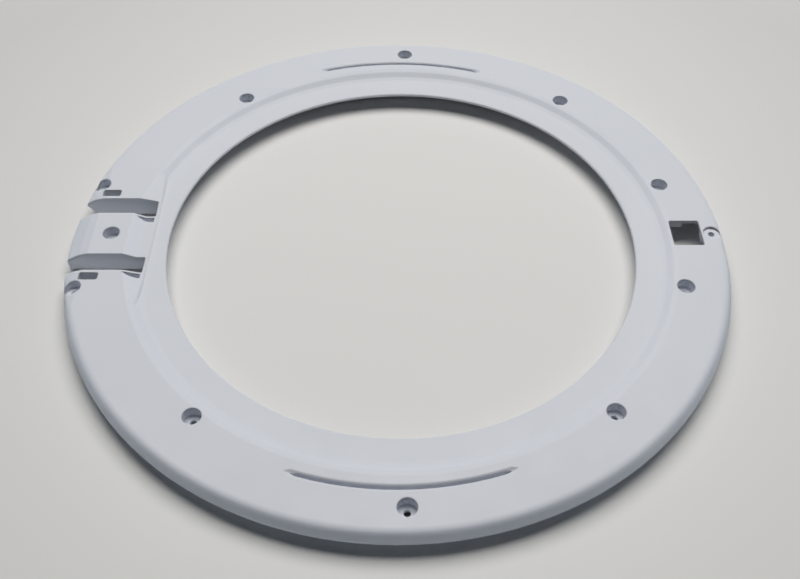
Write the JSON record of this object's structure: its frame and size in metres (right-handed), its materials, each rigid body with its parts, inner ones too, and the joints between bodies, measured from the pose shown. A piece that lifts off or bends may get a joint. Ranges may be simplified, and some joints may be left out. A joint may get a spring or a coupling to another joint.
{
  "type": "washing machine inner door ring",
  "caption": "Round moulded plastic inner frame of a front-loading washing machine door, with hinge slots, a latch window, screw recesses and a stepped flange round the glass opening.",
  "frame": {"origin": "centre of the outer rim, on the plane the ring rests on with its open back down", "axes": "+Z out of the face on the drum side, +X towards the latch window, -X towards the hinge slots, +Y up the hung door as seen from the drum side with the latch on the right"},
  "size_m": [0.44, 0.44, 0.0175],
  "materials": {
    "white_plastic": "satin white moulded plastic"
  },
  "bodies": {
    "root": {"inner_door_ring": "white_plastic"}
  },
  "joints": []
}
